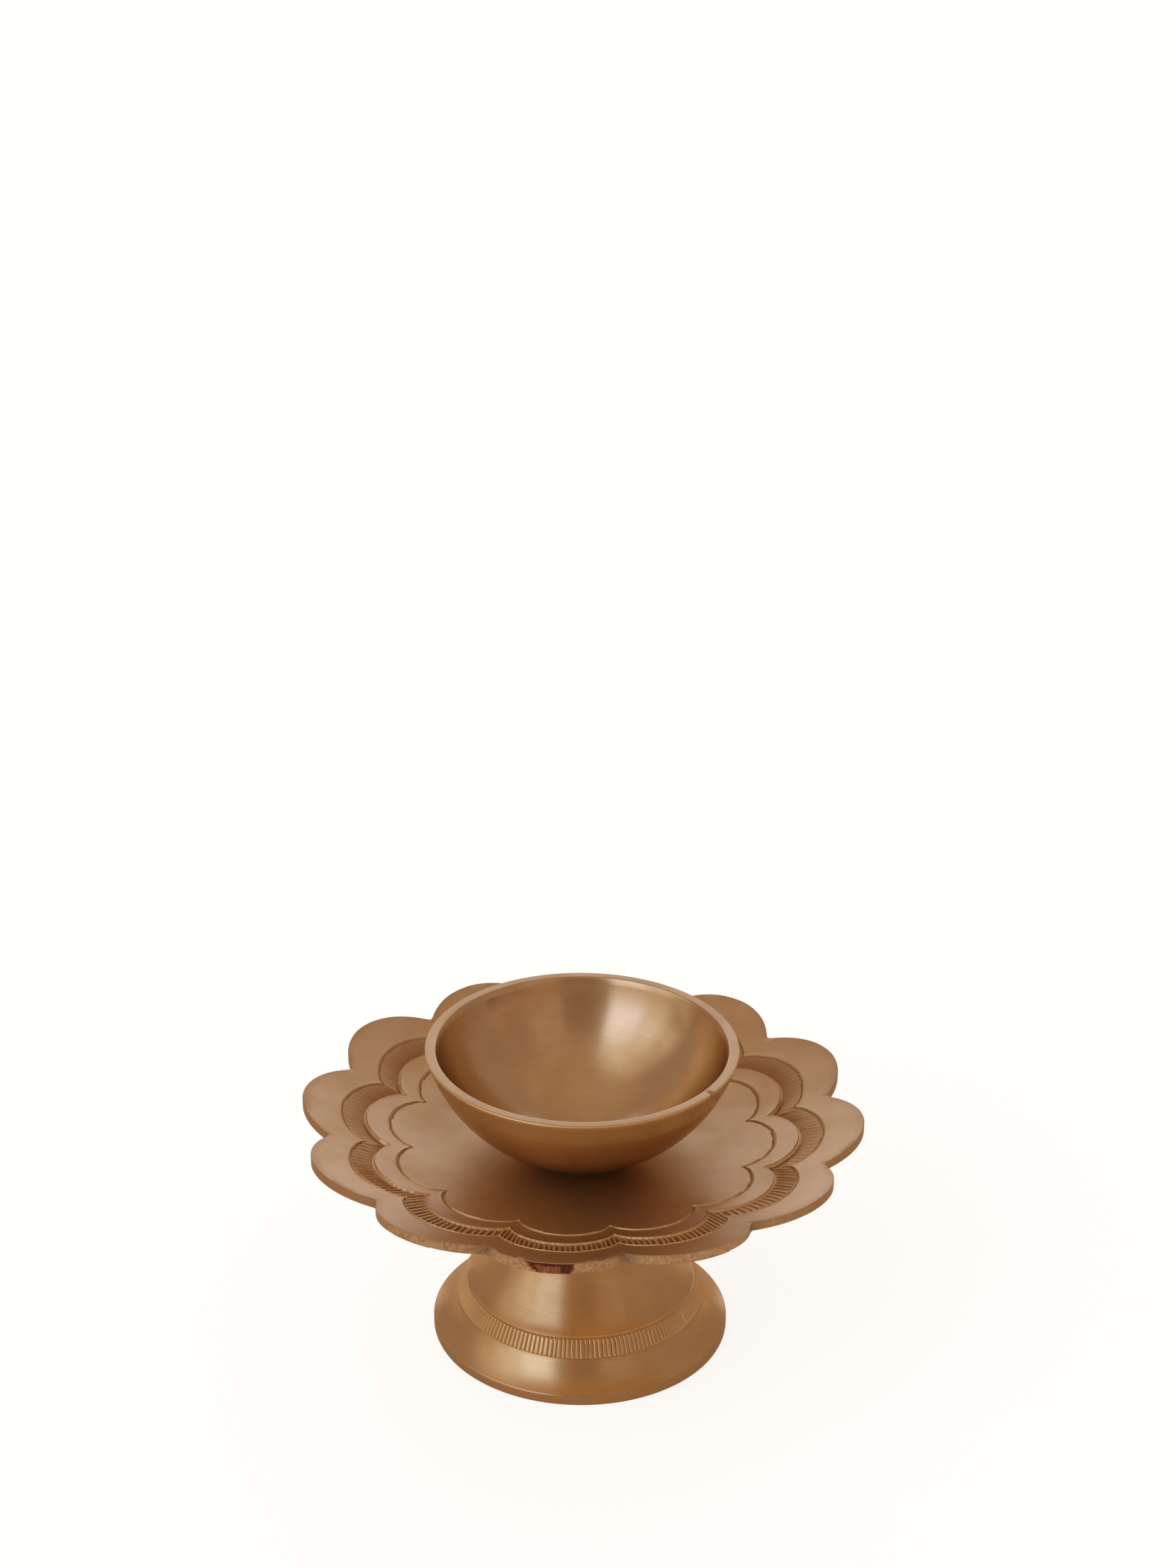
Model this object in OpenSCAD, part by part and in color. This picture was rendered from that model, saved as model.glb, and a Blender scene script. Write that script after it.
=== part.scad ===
// Diya oil lamp: an oil bowl on a twelve-petal plate and a hollow trumpet foot.
// A boss and a stud under the bowl pass through the plate into the foot,
// where a washer and a nut pull the three pieces together.
// Millimetres, +Z up, origin at the centre of the foot's resting face.

/* [Overall] */
// Height from the table to the bowl's rim
lamp_h = 65; // [62:0.5:68]
// Smoothness of round faces
smooth = 96; // [48:12:144]

/* [Bowl] */
// Outside diameter at the rim
bowl_d = 63; // [60:0.5:66]
// Outside depth from the rim to the lowest point
bowl_depth = 24.1; // [23.5:0.1:24.5]
// Wall thickness at the rim
bowl_wall = 2.1; // [1.8:0.1:2.6]
// Thickness of the bowl's bottom
bowl_base_t = 3.2; // [2.8:0.1:4]

/* [Petal plate] */
// Distance from the axis to a petal's tip
petal_tip_r = 57; // [55:0.5:60]
// Radius of one petal's round end
petal_end_r = 14.8; // [14.2:0.1:15.4]
// Number of petals
petal_count = 12; // [11:1:12]
// Angle of the first notch from the front
petal_turn = 9.6; // [0:0.1:30]
// Plate thickness
plate_t = 2; // [1.8:0.1:2.4]
// Radius of the plate's dished surface
dish_r = 165; // [155:1:175]
// Height of the dish's lowest point
dish_z = 41; // [40.9:0.1:41.1]

/* [Engraving] */
// Distance from the axis to the lobe tops of the band's outer edge
band_outer_r = 49.4; // [48.5:0.1:50]
// Distance from the axis to the lobe tops of the band's inner edge
band_inner_r = 44.1; // [43.5:0.1:45]
// Distance from the axis to the lobe tops of the thin line
line_r = 39.4; // [38.8:0.1:40]
// Width of the thin line
line_w = 0.7; // [0.5:0.1:1]
// Depth of the engraving
engrave_depth = 0.3; // [0.2:0.05:0.4]

/* [Foot] */
// Diameter of the foot at the table
foot_d = 61; // [59:0.5:64]
// Height of the upright lip at the table
lip_h = 2.2; // [1.8:0.1:2.6]
// Radius at the lower edge of the milled band
band_low_r = 25.8; // [25.4:0.1:26.2]
// Height of the lower edge of the milled band
band_low_z = 7.6; // [7.4:0.1:7.8]
// Radius at the upper edge of the milled band
band_top_r = 23.8; // [23.5:0.1:24.2]
// Height of the upper edge of the milled band
band_top_z = 11.2; // [11:0.1:11.4]
// Radius of the neck under the collar
neck_r = 10.4; // [10:0.1:11]
// Radius of the collar that carries the plate
collar_r = 12.4; // [12:0.1:13]
// Thickness of the foot's wall
foot_wall = 2.1; // [1.8:0.1:2.4]
// Thickness of the foot's closed top
foot_top_t = 4; // [3.6:0.1:4.4]

/* [Fastening] */
// Diameter of the boss's spigot
spigot_d = 9; // [8.5:0.1:9.5]
// Radius of the boss's flange
flange_r = 6.8; // [6.4:0.1:7]
// Nominal thread diameter of the stud
stud_d = 5; // [5:1:5]
// Radial clearance of the spigot and the stud in their holes
fit_gap = 0.08; // [0.05:0.01:0.1]
// Washer outside diameter
washer_d = 10; // [9:0.5:10]
// Washer thickness
washer_t = 1; // [0.8:0.1:1.2]
// Nut width across flats
nut_af = 8; // [8:0.5:8]
// Nut height
nut_h = 4; // [3.6:0.1:4.4]
// Length of stud below the nut
stud_tail = 2.2; // [1.5:0.1:2.4]

/* [Hidden] */

bowl_r = bowl_d / 2;
bowl_low_z = lamp_h - bowl_depth;
bowl_outer_r = sphere_r(bowl_r, bowl_depth);
bowl_inner_r = sphere_r(bowl_r - bowl_wall, bowl_depth - bowl_base_t);

// The plate rests on the foot's top face; the boss's flange sits in a turned seat.
plate_rest_z = dish_z - plate_t + 0.2;
seat_z = dish_z - 0.4;
seat_r = flange_r + 0.3;
foot_top_z = plate_rest_z;
foot_ceiling_z = foot_top_z - foot_top_t;
spigot_r = spigot_d / 2;
spigot_low_z = foot_top_z - 1.5;
socket_low_z = foot_top_z - 1.8;
stud_r = stud_d / 2;
stud_top_z = bowl_low_z + 1.1;
washer_low_z = foot_ceiling_z - washer_t;
nut_low_z = washer_low_z - nut_h;
stud_low_z = nut_low_z - stud_tail;

foot_r = foot_d / 2;
skirt_bow = 0.35;
cone_bow = 1.7;
cone_start = [band_top_r - 0.5, band_top_z + 0.4];
cone_end = [neck_r, foot_ceiling_z - 0.4];
arc_steps = 10;
eps = 0.01;

brass_light = "#b98a55";
brass_mid = "#a5743f";
brass_dark = "#8c5a2c";
steel_grey = "#a9a9a6";

// Radius of the sphere whose cap has this rim radius and depth.
function sphere_r(rim, depth) = (rim * rim + depth * depth) / (2 * depth);

// Points on a bowed line from a to b; the bow bends to the left of the direction a to b.
function bowed(a, b, bow) =
    let (along = b - a, side = [-along[1], along[0]] / norm(along))
    [for (i = [0:arc_steps]) let (t = i / arc_steps) a + along * t + side * (4 * bow * t * (1 - t))];

// Distance from the axis to the centres of the lobe circles.
function lobe_centre(tip, r) = tip - r;

// The scalloped outline: round lobes about the axis, with the first notch at petal_turn from the front.
module scallop(tip, r) {
    step = 360 / petal_count;
    circle(r = lobe_centre(tip, r), $fn = smooth);
    for (i = [0:petal_count - 1])
        rotate(petal_turn - 90 + (i + 0.5) * step)
            translate([lobe_centre(tip, r), 0])
                circle(r = r, $fn = smooth);
}

// The space above a surface parallel to the dish and this far below it.
module above_dish(drop) {
    translate([0, 0, dish_z + dish_r])
        sphere(r = dish_r + drop, $fn = smooth);
}

// An engraved strip between two scalloped outlines.
module engraved(outer_tip, outer_end, inner_tip, inner_end) {
    intersection() {
        translate([0, 0, plate_rest_z])
            linear_extrude(height = 20)
                difference() {
                    scallop(outer_tip, outer_end);
                    scallop(inner_tip, inner_end);
                }
        above_dish(engrave_depth);
    }
}

module bowl() {
    color(brass_mid)
        difference() {
            translate([0, 0, bowl_low_z + bowl_outer_r])
                sphere(r = bowl_outer_r, $fn = smooth);
            translate([0, 0, bowl_low_z + bowl_base_t + bowl_inner_r])
                sphere(r = bowl_inner_r, $fn = smooth);
            translate([0, 0, lamp_h])
                cylinder(r = bowl_outer_r + 1, h = 2 * bowl_outer_r, $fn = smooth);
            translate([0, 0, bowl_low_z - 1])
                cylinder(r = stud_r, h = stud_top_z - bowl_low_z + 1, $fn = smooth);
        }
}

module bowl_boss() {
    color(brass_dark)
        difference() {
            union() {
                translate([0, 0, seat_z])
                    cylinder(r = flange_r, h = 1.2, $fn = smooth);
                translate([0, 0, spigot_low_z])
                    cylinder(r = spigot_r, h = seat_z - spigot_low_z + eps, $fn = smooth);
            }
            translate([0, 0, bowl_low_z + bowl_outer_r])
                sphere(r = bowl_outer_r, $fn = smooth);
            translate([0, 0, spigot_low_z - 1])
                cylinder(r = stud_r, h = 8, $fn = smooth);
        }
}

module tie_stud() {
    chamfer = 0.5;
    color(brass_dark)
        translate([0, 0, stud_low_z])
            union() {
                cylinder(r1 = stud_r - chamfer, r2 = stud_r, h = chamfer, $fn = smooth);
                translate([0, 0, chamfer])
                    cylinder(r = stud_r, h = stud_top_z - stud_low_z - chamfer, $fn = smooth);
            }
}

module petal_plate() {
    color(brass_light)
        difference() {
            intersection() {
                translate([0, 0, plate_rest_z])
                    linear_extrude(height = 20)
                        scallop(petal_tip_r, petal_end_r);
                above_dish(plate_t);
            }
            above_dish(0);
            engraved(band_outer_r, 14.2, band_inner_r, 11.8);
            engraved(line_r, 10.1, line_r - line_w, 9.4);
            translate([0, 0, seat_z])
                cylinder(r = seat_r, h = 5, $fn = smooth);
            translate([0, 0, plate_rest_z - 1])
                cylinder(r = spigot_r + fit_gap, h = 5, $fn = smooth);
        }
}

module pedestal_foot() {
    lip_top = [foot_r - 0.2, lip_h];
    skirt_top = [band_low_r - 0.4, band_low_z - 0.3];
    outside = concat(
        [[foot_r - 0.3, 0], [foot_r, 0.3], [foot_r, lip_h - 0.2]],
        bowed(lip_top, skirt_top, skirt_bow),
        [[band_low_r, band_low_z], [band_top_r, band_top_z], [band_top_r - 0.6, band_top_z + 0.1]],
        bowed(cone_start, cone_end, cone_bow),
        [[neck_r + 0.5, foot_ceiling_z + 0.6], [collar_r - 0.4, foot_ceiling_z + 1.6]],
        [[collar_r, foot_ceiling_z + 2], [collar_r, foot_top_z - 0.3], [collar_r - 0.3, foot_top_z]]
    );
    inside = concat(
        [[spigot_r + fit_gap, foot_top_z], [spigot_r + fit_gap, socket_low_z], [stud_r + fit_gap, socket_low_z]],
        [[stud_r + fit_gap, foot_ceiling_z], [neck_r - foot_wall, foot_ceiling_z]],
        bowed([neck_r - foot_wall, foot_ceiling_z - 2], [band_top_r - foot_wall - 0.6, band_top_z - 0.9], -cone_bow),
        [[band_low_r - foot_wall - 0.4, band_low_z - 1.6], [foot_r - foot_wall, lip_h - 0.4], [foot_r - foot_wall, 0]]
    );
    color(brass_mid)
        rotate_extrude($fn = smooth)
            polygon(concat(outside, inside));
}

module flat_washer() {
    color(steel_grey)
        translate([0, 0, washer_low_z])
            difference() {
                cylinder(r = washer_d / 2, h = washer_t, $fn = smooth);
                translate([0, 0, -1])
                    cylinder(r = stud_r + fit_gap, h = washer_t + 2, $fn = smooth);
            }
}

module hex_nut() {
    corner_r = nut_af / 2 / cos(30);
    flat_r = nut_af / 2;
    bevel = (corner_r - flat_r) * 0.6;
    color(steel_grey)
        translate([0, 0, nut_low_z])
            difference() {
                intersection() {
                    cylinder(r = corner_r, h = nut_h, $fn = 6);
                    union() {
                        cylinder(r1 = flat_r, r2 = corner_r, h = bevel, $fn = smooth);
                        translate([0, 0, bevel])
                            cylinder(r = corner_r, h = nut_h - 2 * bevel, $fn = smooth);
                        translate([0, 0, nut_h - bevel])
                            cylinder(r1 = corner_r, r2 = flat_r, h = bevel, $fn = smooth);
                    }
                }
                translate([0, 0, -1])
                    cylinder(r = stud_r + fit_gap, h = nut_h + 2, $fn = smooth);
            }
}

bowl();
bowl_boss();
tie_stud();
petal_plate();
pedestal_foot();
flat_washer();
hex_nut();
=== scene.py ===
"""Looks of the diya oil lamp: turned bowl, chiselled petal plate, trumpet foot and its fastening.

Lengths are in millimetres until a mesh is made. Angles run from the front, -Y, towards +X.
"""

import math

import bpy
import numpy as np
from mathutils import Matrix, Vector


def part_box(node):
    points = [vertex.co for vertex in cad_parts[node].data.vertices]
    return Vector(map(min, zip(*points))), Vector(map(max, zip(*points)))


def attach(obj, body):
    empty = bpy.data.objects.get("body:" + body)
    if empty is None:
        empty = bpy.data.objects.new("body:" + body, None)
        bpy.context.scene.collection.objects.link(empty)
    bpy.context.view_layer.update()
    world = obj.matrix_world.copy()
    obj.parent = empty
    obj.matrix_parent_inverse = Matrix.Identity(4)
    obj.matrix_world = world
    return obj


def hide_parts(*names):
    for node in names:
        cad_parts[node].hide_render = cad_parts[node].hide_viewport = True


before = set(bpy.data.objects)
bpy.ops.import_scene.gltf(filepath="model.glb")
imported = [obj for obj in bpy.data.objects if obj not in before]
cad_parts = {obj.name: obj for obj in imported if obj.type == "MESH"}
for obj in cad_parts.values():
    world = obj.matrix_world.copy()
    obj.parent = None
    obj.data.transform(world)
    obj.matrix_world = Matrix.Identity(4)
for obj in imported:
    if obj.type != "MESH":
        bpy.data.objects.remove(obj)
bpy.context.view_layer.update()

MM = 0.001
TURN = 2 * math.pi
rng = np.random.default_rng(7)


def node_mm(name):
    """A CAD node's lowest and highest corner in millimetres."""
    low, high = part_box(name)
    return low / MM, high / MM


# ---------------------------------------------------------------- sizes from the frame

bowl_low, bowl_high = node_mm("bowl")
plate_low, _ = node_mm("petal_plate")
_, foot_high = node_mm("pedestal_foot")
boss_low, boss_high = node_mm("bowl_boss")
stud_low, stud_high = node_mm("tie_stud")
washer_low, washer_high = node_mm("flat_washer")
nut_low, nut_high = node_mm("hex_nut")

RIM_R = bowl_high.x
RIM_Z = bowl_high.z
BOWL_Z = bowl_low.z
FOOT_R = foot_high.x
FOOT_TOP = foot_high.z
PLATE_REST = plate_low.z

# ---------------------------------------------------------------- sizes the frame's boxes don't give

BOWL_WALL = 2.1  # at the rim
BOWL_BASE = 3.2  # at the bottom
PETALS = 12
LOBE_HALF = TURN / PETALS / 2
FIRST_NOTCH = math.radians(9.6)
PETAL_TIP, PETAL_END = 57.0, 14.8  # a tip's distance from the axis, and the radius of a petal's end
PLATE_T = 2.0
DISH_R, DISH_Z = 165.0, 41.0  # the dish's sphere, and the height of its lowest point
SEAT_R, SEAT_Z = 7.1, 40.6  # the seat for the boss's flange
STUD_R = 2.5
SPIGOT_R = 4.5
FIT_GAP = 0.08
BORE_R = STUD_R + FIT_GAP
SPIGOT_HOLE_R = SPIGOT_R + FIT_GAP
THREAD_PITCH = 0.8

# ---------------------------------------------------------------- strokes and ribs, counted in the photo

# strokes in each petal's share of the hatched band, from the first notch on: closest at the front
STROKES = (22, 20, 20, 19, 19, 19, 19, 19, 19, 20, 21, 24)
HATCHES = sum(STROKES)
# where each stroke's six rails lie in its share, and which of them are the crest and sides of its ridge
STROKE_RAILS = (0.0, 0.22, 0.34, 0.5, 0.66, 0.78)
RIDGE_CREST = (0, 0, 0, 1, 0, 0)
RIDGE_SIDES = (0, 0, 1, 0, 1, 0)
# how far a stroke's outer end leans round from its middle, in radians, at degrees from the front
LEAN_AT = (-48, -32, -20, -5, 5, 20, 35, 50, 75, 90, 120, 170)
LEANS = (0.0, 0.011, 0.009, 0.004, 0.0, -0.009, -0.014, -0.017, -0.018, -0.015, -0.007, 0.0)
# ribs of the foot's milled band, their six rails, and how deep each rail lies in the groove between ribs
RIBS = 168
RIB_RAILS = (0.0, 0.1, 0.3, 0.42, 0.8, 0.92)
RIB_GROOVE = (1.0, 0.55, 0.0, 0.0, 0.0, 0.5)
# radius and height of the ribs' two ends
RIB_LOW, RIB_HIGH = np.array([25.75, 7.62]), np.array([23.85, 11.1])

# ---------------------------------------------------------------- meshes of rings about +Z

# edges sharper than this aren't smoothed
SHARP_ANGLE = math.radians(38)


def ring_quads(rings, sides, capped):
    """Faces between each ring and the next, and from the last back to the first unless capped."""
    i, j = np.arange(rings - 1 if capped else rings)[:, None], np.arange(sides)[None, :]
    after_i, after_j = (i + 1) % rings, (j + 1) % sides
    corners = [i * sides + j, i * sides + after_j, after_i * sides + after_j, after_i * sides + j]
    return np.stack(np.broadcast_arrays(*corners), -1).reshape(-1, 4)


def cap_fans(rings, sides):
    """Triangles from the first and last rings to the two points on the axis that follow all rings."""
    around = np.arange(sides)
    following = (around + 1) % sides
    last_ring, middle = (rings - 1) * sides, rings * sides
    first = np.stack([following, around, np.full(sides, middle)], -1)
    last = np.stack([last_ring + around, last_ring + following, np.full(sides, middle + 1)], -1)
    return np.vstack([first, last])


def ring_mesh(name, radius, height, angle, marks=None, capped=False):
    """A closed solid of rings about +Z from (rings, sides) arrays of radius, height and angle.

    The last ring joins the first, or with capped the first and last rings are closed on the axis.
    marks holds named (rings, sides) arrays that the material reads.
    """
    marks = marks or {}
    radius, height, angle, *values = np.broadcast_arrays(radius, height, angle, *marks.values())
    points = np.stack([radius * np.sin(angle), -radius * np.cos(angle), height], -1).reshape(-1, 3)
    quads, fans = ring_quads(*radius.shape, capped), np.zeros((0, 3), int)
    if capped:
        fans = cap_fans(*radius.shape)
        points = np.vstack([points, [[0, 0, height[0, 0]], [0, 0, height[-1, 0]]]])
    tris = np.vstack([quads[:, [0, 1, 2]], quads[:, [0, 2, 3]], fans])
    a, b, c = points[tris[:, 0]], points[tris[:, 1]], points[tris[:, 2]]
    inside_out = np.einsum("ij,ij->i", a, np.cross(b, c)).sum() < 0
    if inside_out:
        quads, fans = quads[:, ::-1], fans[:, ::-1]
    mesh = bpy.data.meshes.new(name)
    mesh.from_pydata((points * MM).tolist(), [], quads.tolist() + fans.tolist())
    for mark, value in zip(marks, values):
        data = np.concatenate([value.ravel(), np.zeros(len(points) - value.size)])
        mesh.attributes.new(mark, "FLOAT", "POINT").data.foreach_set("value", data.astype(np.float32))
    mesh.shade_smooth()
    mesh.set_sharp_from_angle(angle=SHARP_ANGLE)
    obj = bpy.data.objects.new(name, mesh)
    bpy.context.scene.collection.objects.link(obj)
    return obj


def turned(name, profile, count):
    """A plain turned solid from an (r, z) profile."""
    r, z = np.array(profile).T
    return ring_mesh(name, r[:, None], z[:, None], spokes(count))


class Rails:
    """The rings of a mesh in order: each has a radius, a height, an angle and surface marks."""

    def __init__(self, angle, *marks):
        self.angle, self.marks, self.rows = angle, marks, []

    def add(self, r, z, angle=None, **marks):
        """One ring; a mark that isn't given is 0."""
        values = [self.angle if angle is None else angle, r, z, *(marks.get(m, 0.0) for m in self.marks)]
        self.rows.append([np.broadcast_to(np.asarray(v, float), self.angle.shape) for v in values])

    def profile(self, points, **marks):
        """Plain round rings from (r, z) points."""
        for r, z in points:
            self.add(r, z, **marks)

    def mesh(self, name):
        """The closed solid of all rings so far."""
        angle, r, z, *values = np.array(self.rows).transpose(1, 0, 2)
        return ring_mesh(name, r, z, angle, dict(zip(self.marks, values)))


def spokes(count, phases=(0.0,)):
    """Angles of count repeats round the turn, each sampled at the given phases."""
    return ((np.arange(count)[:, None] + np.array(phases)) * TURN / count).ravel()


def bowed(a, b, bow, steps):
    """Points on a bowed line from a to b, as part.scad draws it; the bow bends to the left."""
    a, b = np.array(a, float), np.array(b, float)
    along = b - a
    side = np.array([-along[1], along[0]]) / np.hypot(*along)
    t = np.linspace(0, 1, steps + 1)[:, None]
    return a + along * t + side * (4 * bow * t * (1 - t))


def rounded(corners, radius=0.12, steps=2):
    """A profile whose corners are rounded; each corner is (r, z) or (r, z, its own radius)."""
    made = []
    for k, corner in enumerate(corners):
        here = np.array(corner[:2], float)
        cut = corner[2] if len(corner) > 2 else radius
        before = np.array(corners[k - 1][:2], float) - here
        after = np.array(corners[(k + 1) % len(corners)][:2], float) - here
        reach = min(cut, 0.45 * np.hypot(*before), 0.45 * np.hypot(*after))
        if reach < 0.01:
            made.append(here)
            continue
        start = here + before / np.hypot(*before) * reach
        end = here + after / np.hypot(*after) * reach
        for t in np.linspace(0, 1, steps + 1):
            made.append(start * (1 - t) ** 2 + here * 2 * t * (1 - t) + end * t**2)
    return np.array(made)


def sphere_r(rim, depth):
    """Radius of the sphere whose cap has this rim radius and depth."""
    return (rim * rim + depth * depth) / (2 * depth)


def smooth(value, low, high):
    """0 below low, 1 above high, smooth between."""
    t = np.clip((value - low) / (high - low), 0, 1)
    return t * t * (3 - 2 * t)


def bell(value, width):
    """1 at 0, falling away on both sides; width is where it has fallen to 1/e."""
    return np.exp(-((value / width) ** 2))


# ---------------------------------------------------------------- petal plate

# tip distance and end radius of the lobes of the thin line, the band's inner wall and its border
LINE_LOBES, WALL_LOBES, BORDER_LOBES = (39.7, 10.3), (43.85, 11.6), (49.35, 14.15)
# how wide a cusp's spike is and how far a petal's notch is eased, in radians
SPIKE_WIDTH, NOTCH_EASE = 0.016, 0.011
# the band is shallower and sharper within the first of these degrees from the front, up to the second
FRONT_STRETCH = (42, 68)


def dish(r, below=0.0):
    """Height of the dished surface, or of one this far below it and parallel to it."""
    return DISH_Z + DISH_R - np.sqrt((DISH_R + below) ** 2 - r * r)


def from_front(angle):
    """The angle as a turn to the right of the front, or below 0 to its left."""
    return (angle + math.pi) % TURN - math.pi


def near_front(angle, near, far):
    """1 up to near degrees on either side of the front, 0 beyond far degrees, smooth between."""
    return 1 - smooth(np.abs(np.degrees(from_front(angle))), near, far)


def from_notch(angle):
    """Distance in radians from the nearest notch between petals."""
    return LOBE_HALF - np.abs(np.mod(angle - FIRST_NOTCH, 2 * LOBE_HALF) - LOBE_HALF)


def lobed(tip, end, angle, fillet=0.0, spike=0.0):
    """Distance from the axis to an outline of round lobes with this tip distance and end radius.

    fillet is how far from a notch, in radians, its corner is eased; spike is how much further in
    the cusps are cut than the arcs meet.
    """
    away = from_notch(angle)
    within = np.maximum(LOBE_HALF - np.hypot(away, fillet), 0)
    centre = tip - end
    arc = centre * np.cos(within) + np.sqrt(end**2 - (centre * np.sin(within)) ** 2)
    return arc - spike * bell(away, SPIKE_WIDTH)


def strikes(angle, per_lobe, spread):
    """A chisel's strikes along a lobed line: for each angle, how far through its strike it is,
    and a number that runs between the strike's own two random ends, each within spread of 0."""
    count = PETALS * per_lobe
    place = np.mod((angle - FIRST_NOTCH) / TURN, 1) * count
    which = np.minimum(place.astype(int), count - 1)
    through = place - which
    ends = rng.uniform(-spread, spread, (2, count))
    return through, ends[0][which] * (1 - through) + ends[1][which] * through


def burin_line(tip, end, angle, width, depth, per_lobe):
    """A lobed line cut with a burin in short strikes: an inner lip, a steep inner wall and a ramp up
    to the outer lip. A list of (radius, depth below the dish, how freshly cut, how much painted shade)."""
    through, wander = strikes(angle, per_lobe, 0.06)
    _, swell = strikes(angle, per_lobe, 0.12)
    torn = bell(from_notch(angle), 0.045) * rng.uniform(-1, 1, len(angle))
    wide = width * (0.9 + swell + 0.2 * through)
    deep = depth * (0.9 + 0.2 * through + swell)
    outer = lobed(tip, end, angle, spike=0.4) + wander + torn * 0.09
    inner = outer - wide
    lip = (inner, -0.02 - 0.03 * np.abs(torn), 0.7, 0.0)
    # the last number is painted shade, at the wall's foot and on the ramp
    wall = [(inner + 0.19, deep * 0.8, 1.0, 0.0), (inner + 0.25, deep, 0.5, 0.8)]
    ramp = [(inner + wide * t, deep * (1 - t) * 0.95, 0.6, dirt) for t, dirt in ((0.6, 0.6), (0.94, 0.1))]
    return [lip, *wall, *ramp, (outer, -0.015, 0.3, 0.0)]


def stroke_angles():
    """Angles of the plate's spokes: six for each stroke of the hatched band."""
    shares = []
    for petal, count in enumerate(STROKES):
        within = (np.arange(count)[:, None] + STROKE_RAILS).ravel() / count
        shares.append(FIRST_NOTCH + TURN / PETALS * (petal + within))
    return np.concatenate(shares)


def stroke_lean(angle):
    """How far a stroke's outer end leans round from its middle; its inner end leans back as far."""
    return np.interp(np.degrees(from_front(angle)), LEAN_AT, LEANS)


def for_each_stroke(low, high):
    """One random number for each stroke, repeated on its six rails."""
    return np.repeat(rng.uniform(low, high, HATCHES), len(STROKE_RAILS))


def across_dish(rails, first, last, steps, turn_first=0.0, turn_last=0.0):
    """Rings on the dish, evenly between two radii, with the spokes turned from one angle to another."""
    for t in np.linspace(0, 1, steps + 2)[1:-1]:
        r = first * (1 - t) + last * t
        rails.add(r, dish(r), rails.angle + turn_first * (1 - t) + turn_last * t)


def engrave(rails, line, angle, sunk_lip=0.0):
    """Adds a burin line, whose first lip lies sunk_lip lower than it would."""
    for k, (r, drop, cut, dirt) in enumerate(line):
        rails.add(r, dish(r) - drop - (sunk_lip if k == 0 else 0.0), angle, cut=cut, dirt=dirt)


def plate_seat(rails):
    """The hole for the spigot, and the sunk seat that the boss's flange stands in."""
    rails.profile([(SPIGOT_HOLE_R, SEAT_Z - 0.2), (SPIGOT_HOLE_R + 0.2, SEAT_Z)])
    rails.profile([(SEAT_R - 0.05, SEAT_Z), (SEAT_R, SEAT_Z + 0.05)])
    rails.profile([(SEAT_R, dish(SEAT_R) - 0.08), (SEAT_R + 0.08, dish(SEAT_R + 0.08))])


def thin_line(rails):
    """The middle of the dish and the thin engraved line round it. Gives its outer lip's radius."""
    line = burin_line(*LINE_LOBES, rails.angle, width=0.92, depth=0.38, per_lobe=6)
    lip = line[0][0]
    soft_lobes = lobed(36.2, 9.2, rails.angle, 0.03)
    across_dish(rails, SEAT_R + 0.1, soft_lobes, 5)
    for inset in (0.4, 0.1):
        rails.add(lip - inset, dish(lip - inset))
    engrave(rails, line, rails.angle)
    return line[-1][0]


def hatched_band(rails, start):
    """The sunk band, from its chiselled inner wall to its engraved border. Gives the border's radius."""
    angle, front = rails.angle, near_front(rails.angle, *FRONT_STRETCH)
    lean = stroke_lean(angle)
    inner, outer = angle - lean, angle + lean
    ragged = rng.uniform(-1, 1, len(angle)) * (0.2 + front + bell(from_notch(angle), 0.06))
    wall = lobed(*WALL_LOBES, inner, spike=0.5) + strikes(angle, 6, 0.06)[1] + 0.05 * ragged
    sink = 0.6 - 0.24 * front + strikes(angle, 8, 0.05)[1]
    rails.add(start + 0.12, dish(start + 0.12))
    across_dish(rails, start + 0.15, wall - 0.15, 2, 0.0, -lean)
    rails.add(wall - 0.1, dish(wall - 0.1), inner)
    # the wall's top and face get the bright cut colour, more at the front, where it is a painted highlight
    rails.add(wall, dish(wall) + 0.02 + 0.02 * np.abs(ragged), inner, cut=0.3 + 0.4 * front)
    rails.add(wall + 0.2, dish(wall) - sink * (0.45 + 0.4 * front), inner, cut=0.4 + 0.6 * front)
    border = burin_line(*BORDER_LOBES, outer, width=0.75, depth=0.32, per_lobe=7)
    band_floor(rails, wall + 0.3 + 0.5 * (1 - front), border[0][0], sink)
    engrave(rails, border, outer, sunk_lip=0.04)
    return border[-1][0]


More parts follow.
